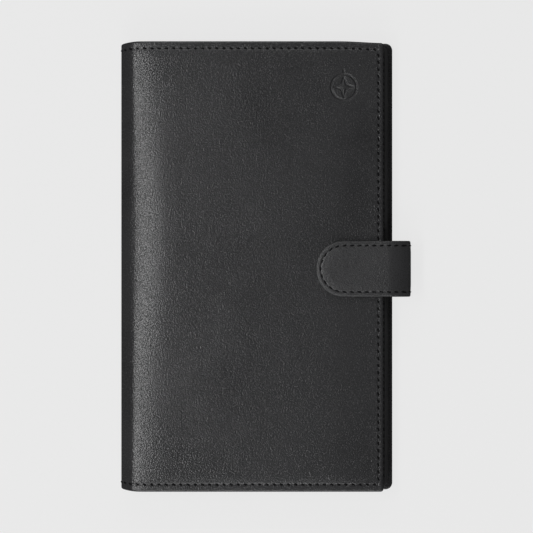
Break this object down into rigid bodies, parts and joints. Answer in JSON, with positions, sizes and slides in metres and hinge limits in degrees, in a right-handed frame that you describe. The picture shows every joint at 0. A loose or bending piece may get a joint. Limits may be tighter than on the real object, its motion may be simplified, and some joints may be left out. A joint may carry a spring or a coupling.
{
  "type": "passport holder wallet",
  "caption": "Tall leather travel wallet: padded covers on a rounded spine, centre leaf with card slots, passport pocket, and a strap that wraps the fore-edge to a hidden press stud.",
  "frame": {"origin": "middle of the closed wallet's outline, on the surface its back cover lies on", "axes": "+Y towards the top edge along the spine, +X from the spine to the fore-edge, +Z out of the front cover"},
  "size_m": [0.1446, 0.224, 0.0198],
  "materials": {
    "cover_leather": "smooth charcoal-black full-grain nappa, satin, very fine grain",
    "strap_leather": "smooth charcoal-black nappa, satin",
    "lining_leather": "thin dark lining leather, matt",
    "pocket_leather": "thin black nappa with turned, creased mouths",
    "foam": "thin closed-cell padding foam",
    "board": "bonded leather board",
    "tape": "woven black seam tape",
    "nickel": "nickel-plated brass, polished"
  },
  "bodies": {
    "back": {"back_cover": "cover_leather", "back_foam": "foam", "back_board": "board", "back_lining": "lining_leather", "strap_anchor": "strap_leather", "document_pocket": "pocket_leather", "passport_gusset": "pocket_leather", "passport_pocket": "pocket_leather", "ticket_slot_1": "pocket_leather", "ticket_slot_2": "pocket_leather"},
    "spine": {"spine_cover": "cover_leather", "spine_lining": "lining_leather", "leaf_seam_tape": "tape"},
    "front": {"front_cover": "cover_leather", "front_foam": "foam", "front_board": "board", "front_lining": "lining_leather", "front_slip_pocket": "pocket_leather", "front_card_slot_1": "pocket_leather", "front_card_slot_2": "pocket_leather", "front_card_slot_3": "pocket_leather", "front_card_slot_4": "pocket_leather", "snap_stud": "nickel", "snap_rivet": "nickel"},
    "leaf": {"leaf_hinge": "lining_leather", "leaf_board": "board", "leaf_upper_face": "lining_leather", "leaf_lower_face": "lining_leather", "leaf_note_pocket": "pocket_leather", "leaf_card_slot_1": "pocket_leather", "leaf_card_slot_2": "pocket_leather", "leaf_card_slot_3": "pocket_leather", "leaf_card_slot_4": "pocket_leather", "leaf_card_slot_5": "pocket_leather", "leaf_card_slot_6": "pocket_leather", "leaf_card_slot_7": "pocket_leather", "leaf_card_slot_8": "pocket_leather"},
    "strap_loop": {"strap_loop_leather": "strap_leather", "strap_loop_lining": "strap_leather"},
    "strap_tab": {"strap_tab_leather": "strap_leather", "strap_tab_lining": "strap_leather", "snap_socket": "nickel", "snap_cap": "nickel"}
  },
  "joints": [
    {"name": "spine_fold", "type": "hinge", "parent": "back", "child": "spine", "pos_m": [-0.07022, 0, 0.00208], "axis": [0, -1, 0], "range_deg": [0, 90]},
    {"name": "front_fold", "type": "hinge", "parent": "spine", "child": "front", "pos_m": [-0.07022, 0, 0.01492], "axis": [0, -1, 0], "range_deg": [0, 90]},
    {"name": "leaf_fold", "type": "hinge", "parent": "spine", "child": "leaf", "pos_m": [-0.069, 0, 0.0109], "axis": [0, -1, 0], "range_deg": [0, 45]},
    {"name": "strap_loop_bend", "type": "hinge", "parent": "back", "child": "strap_loop", "pos_m": [0.07023, -0.00115, 0.00307], "axis": [0, 1, 0], "range_deg": [0, 90]},
    {"name": "strap_tab_bend", "type": "hinge", "parent": "strap_loop", "child": "strap_tab", "pos_m": [0.07023, -0.00115, 0.01773], "axis": [0, 1, 0], "range_deg": [0, 90]}
  ],
  "couplings": [
    {"joint": "front_fold", "follows": "spine_fold", "ratio": 1},
    {"joint": "leaf_fold", "follows": "spine_fold", "ratio": 0.5}
  ]
}
